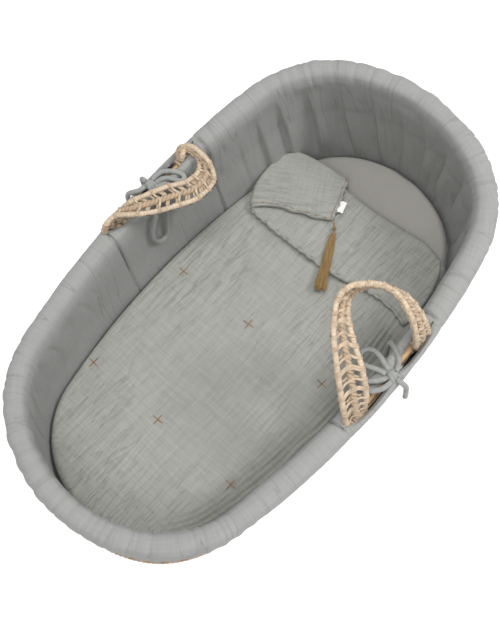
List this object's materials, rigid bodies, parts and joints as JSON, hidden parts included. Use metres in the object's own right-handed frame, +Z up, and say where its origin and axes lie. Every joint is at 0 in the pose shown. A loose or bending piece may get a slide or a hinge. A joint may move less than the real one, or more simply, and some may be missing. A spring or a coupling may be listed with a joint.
{
  "type": "moses basket",
  "caption": "Oval woven baby basket with two folding plaited handles, padded fabric liner, mattress and folded quilt.",
  "frame": {"origin": "middle of the basket's underside, on the surface it stands on", "axes": "+X towards the head end, +Y towards the sleeper's left, +Z up"},
  "size_m": [0.8404, 0.537, 0.3705],
  "materials": {
    "palm_weave": "open woven palm leaf, matt",
    "rim_cane": "straw-wrapped cane, satin",
    "handle_straw": "crocheted straw, matt",
    "liner_muslin": "grey-green cotton muslin over wadding",
    "wadding": "polyester wadding",
    "tie_fabric": "narrow tubes of the liner muslin",
    "foam": "open-cell foam, modelled as fabric",
    "sheet_jersey": "smooth fitted cotton sheet",
    "quilt_muslin": "crinkled double muslin",
    "ochre_thread": "ochre embroidery cotton",
    "label_tape": "plain woven tape, blank"
  },
  "bodies": {
    "basket": {"base_mat": "palm_weave", "base_border": "palm_weave", "wall_foot": "palm_weave", "wall_head": "palm_weave", "wall_left": "palm_weave", "wall_right": "palm_weave", "rim_hoop": "rim_cane", "rim_cane_left": "rim_cane", "rim_cane_right": "rim_cane", "liner_foot": "liner_muslin", "liner_head": "liner_muslin", "liner_left": "liner_muslin", "liner_right": "liner_muslin", "wadding_foot": "wadding", "wadding_head": "wadding", "wadding_left": "wadding", "wadding_right": "wadding", "liner_hem": "liner_muslin", "tie_left_knot": "tie_fabric", "tie_right_knot": "tie_fabric", "tie_left_loop_low": "tie_fabric", "tie_left_loop_high": "tie_fabric", "tie_left_tail_foot": "tie_fabric", "tie_left_tail_head": "tie_fabric", "tie_right_loop_high": "tie_fabric", "tie_right_loop_low": "tie_fabric", "tie_right_tail_out": "tie_fabric", "tie_right_tail_in": "tie_fabric"},
    "handle_left": {"handle_left_foot_sleeve": "handle_straw", "handle_left_head_sleeve": "handle_straw", "handle_left_outer_rope": "handle_straw", "handle_left_centre_rope": "handle_straw", "handle_left_inner_rope": "handle_straw", "handle_left_cross_strands": "handle_straw"},
    "handle_right": {"handle_right_foot_sleeve": "handle_straw", "handle_right_head_sleeve": "handle_straw", "handle_right_outer_rope": "handle_straw", "handle_right_centre_rope": "handle_straw", "handle_right_inner_rope": "handle_straw", "handle_right_cross_strands": "handle_straw"},
    "mattress": {"mattress_core": "foam", "mattress_sheet": "sheet_jersey"},
    "quilt": {"quilt_panel": "quilt_muslin", "quilt_turndown": "quilt_muslin", "quilt_corner_flap": "quilt_muslin", "quilt_cross_stitches": "ochre_thread", "quilt_label": "label_tape"},
    "tassel": {"tassel_cord": "ochre_thread", "tassel_knot": "ochre_thread", "tassel_skirt": "ochre_thread"}
  },
  "joints": [
    {"name": "handle_left_swing", "type": "hinge", "parent": "basket", "child": "handle_left", "pos_m": [0.035, 0.2345, 0.20655], "axis": [-0.9944, 0.0116, -0.1048], "range_deg": [-6, 100]},
    {"name": "handle_right_swing", "type": "hinge", "parent": "basket", "child": "handle_right", "pos_m": [0.035, -0.2345, 0.20655], "axis": [0.9944, 0.0116, 0.1048], "range_deg": [-18, 78]},
    {"name": "mattress_lift", "type": "slide", "parent": "basket", "child": "mattress", "axis": [0, 0, 1], "range_m": [0, 0.05]},
    {"name": "quilt_lift", "type": "slide", "parent": "mattress", "child": "quilt", "axis": [0, 0, 1], "range_m": [0, 0.04]},
    {"name": "tassel_swing", "type": "hinge", "parent": "quilt", "child": "tassel", "pos_m": [0.227, 0.0245, 0.0733], "axis": [0, 0, 1], "range_deg": [-30, 45]}
  ]
}
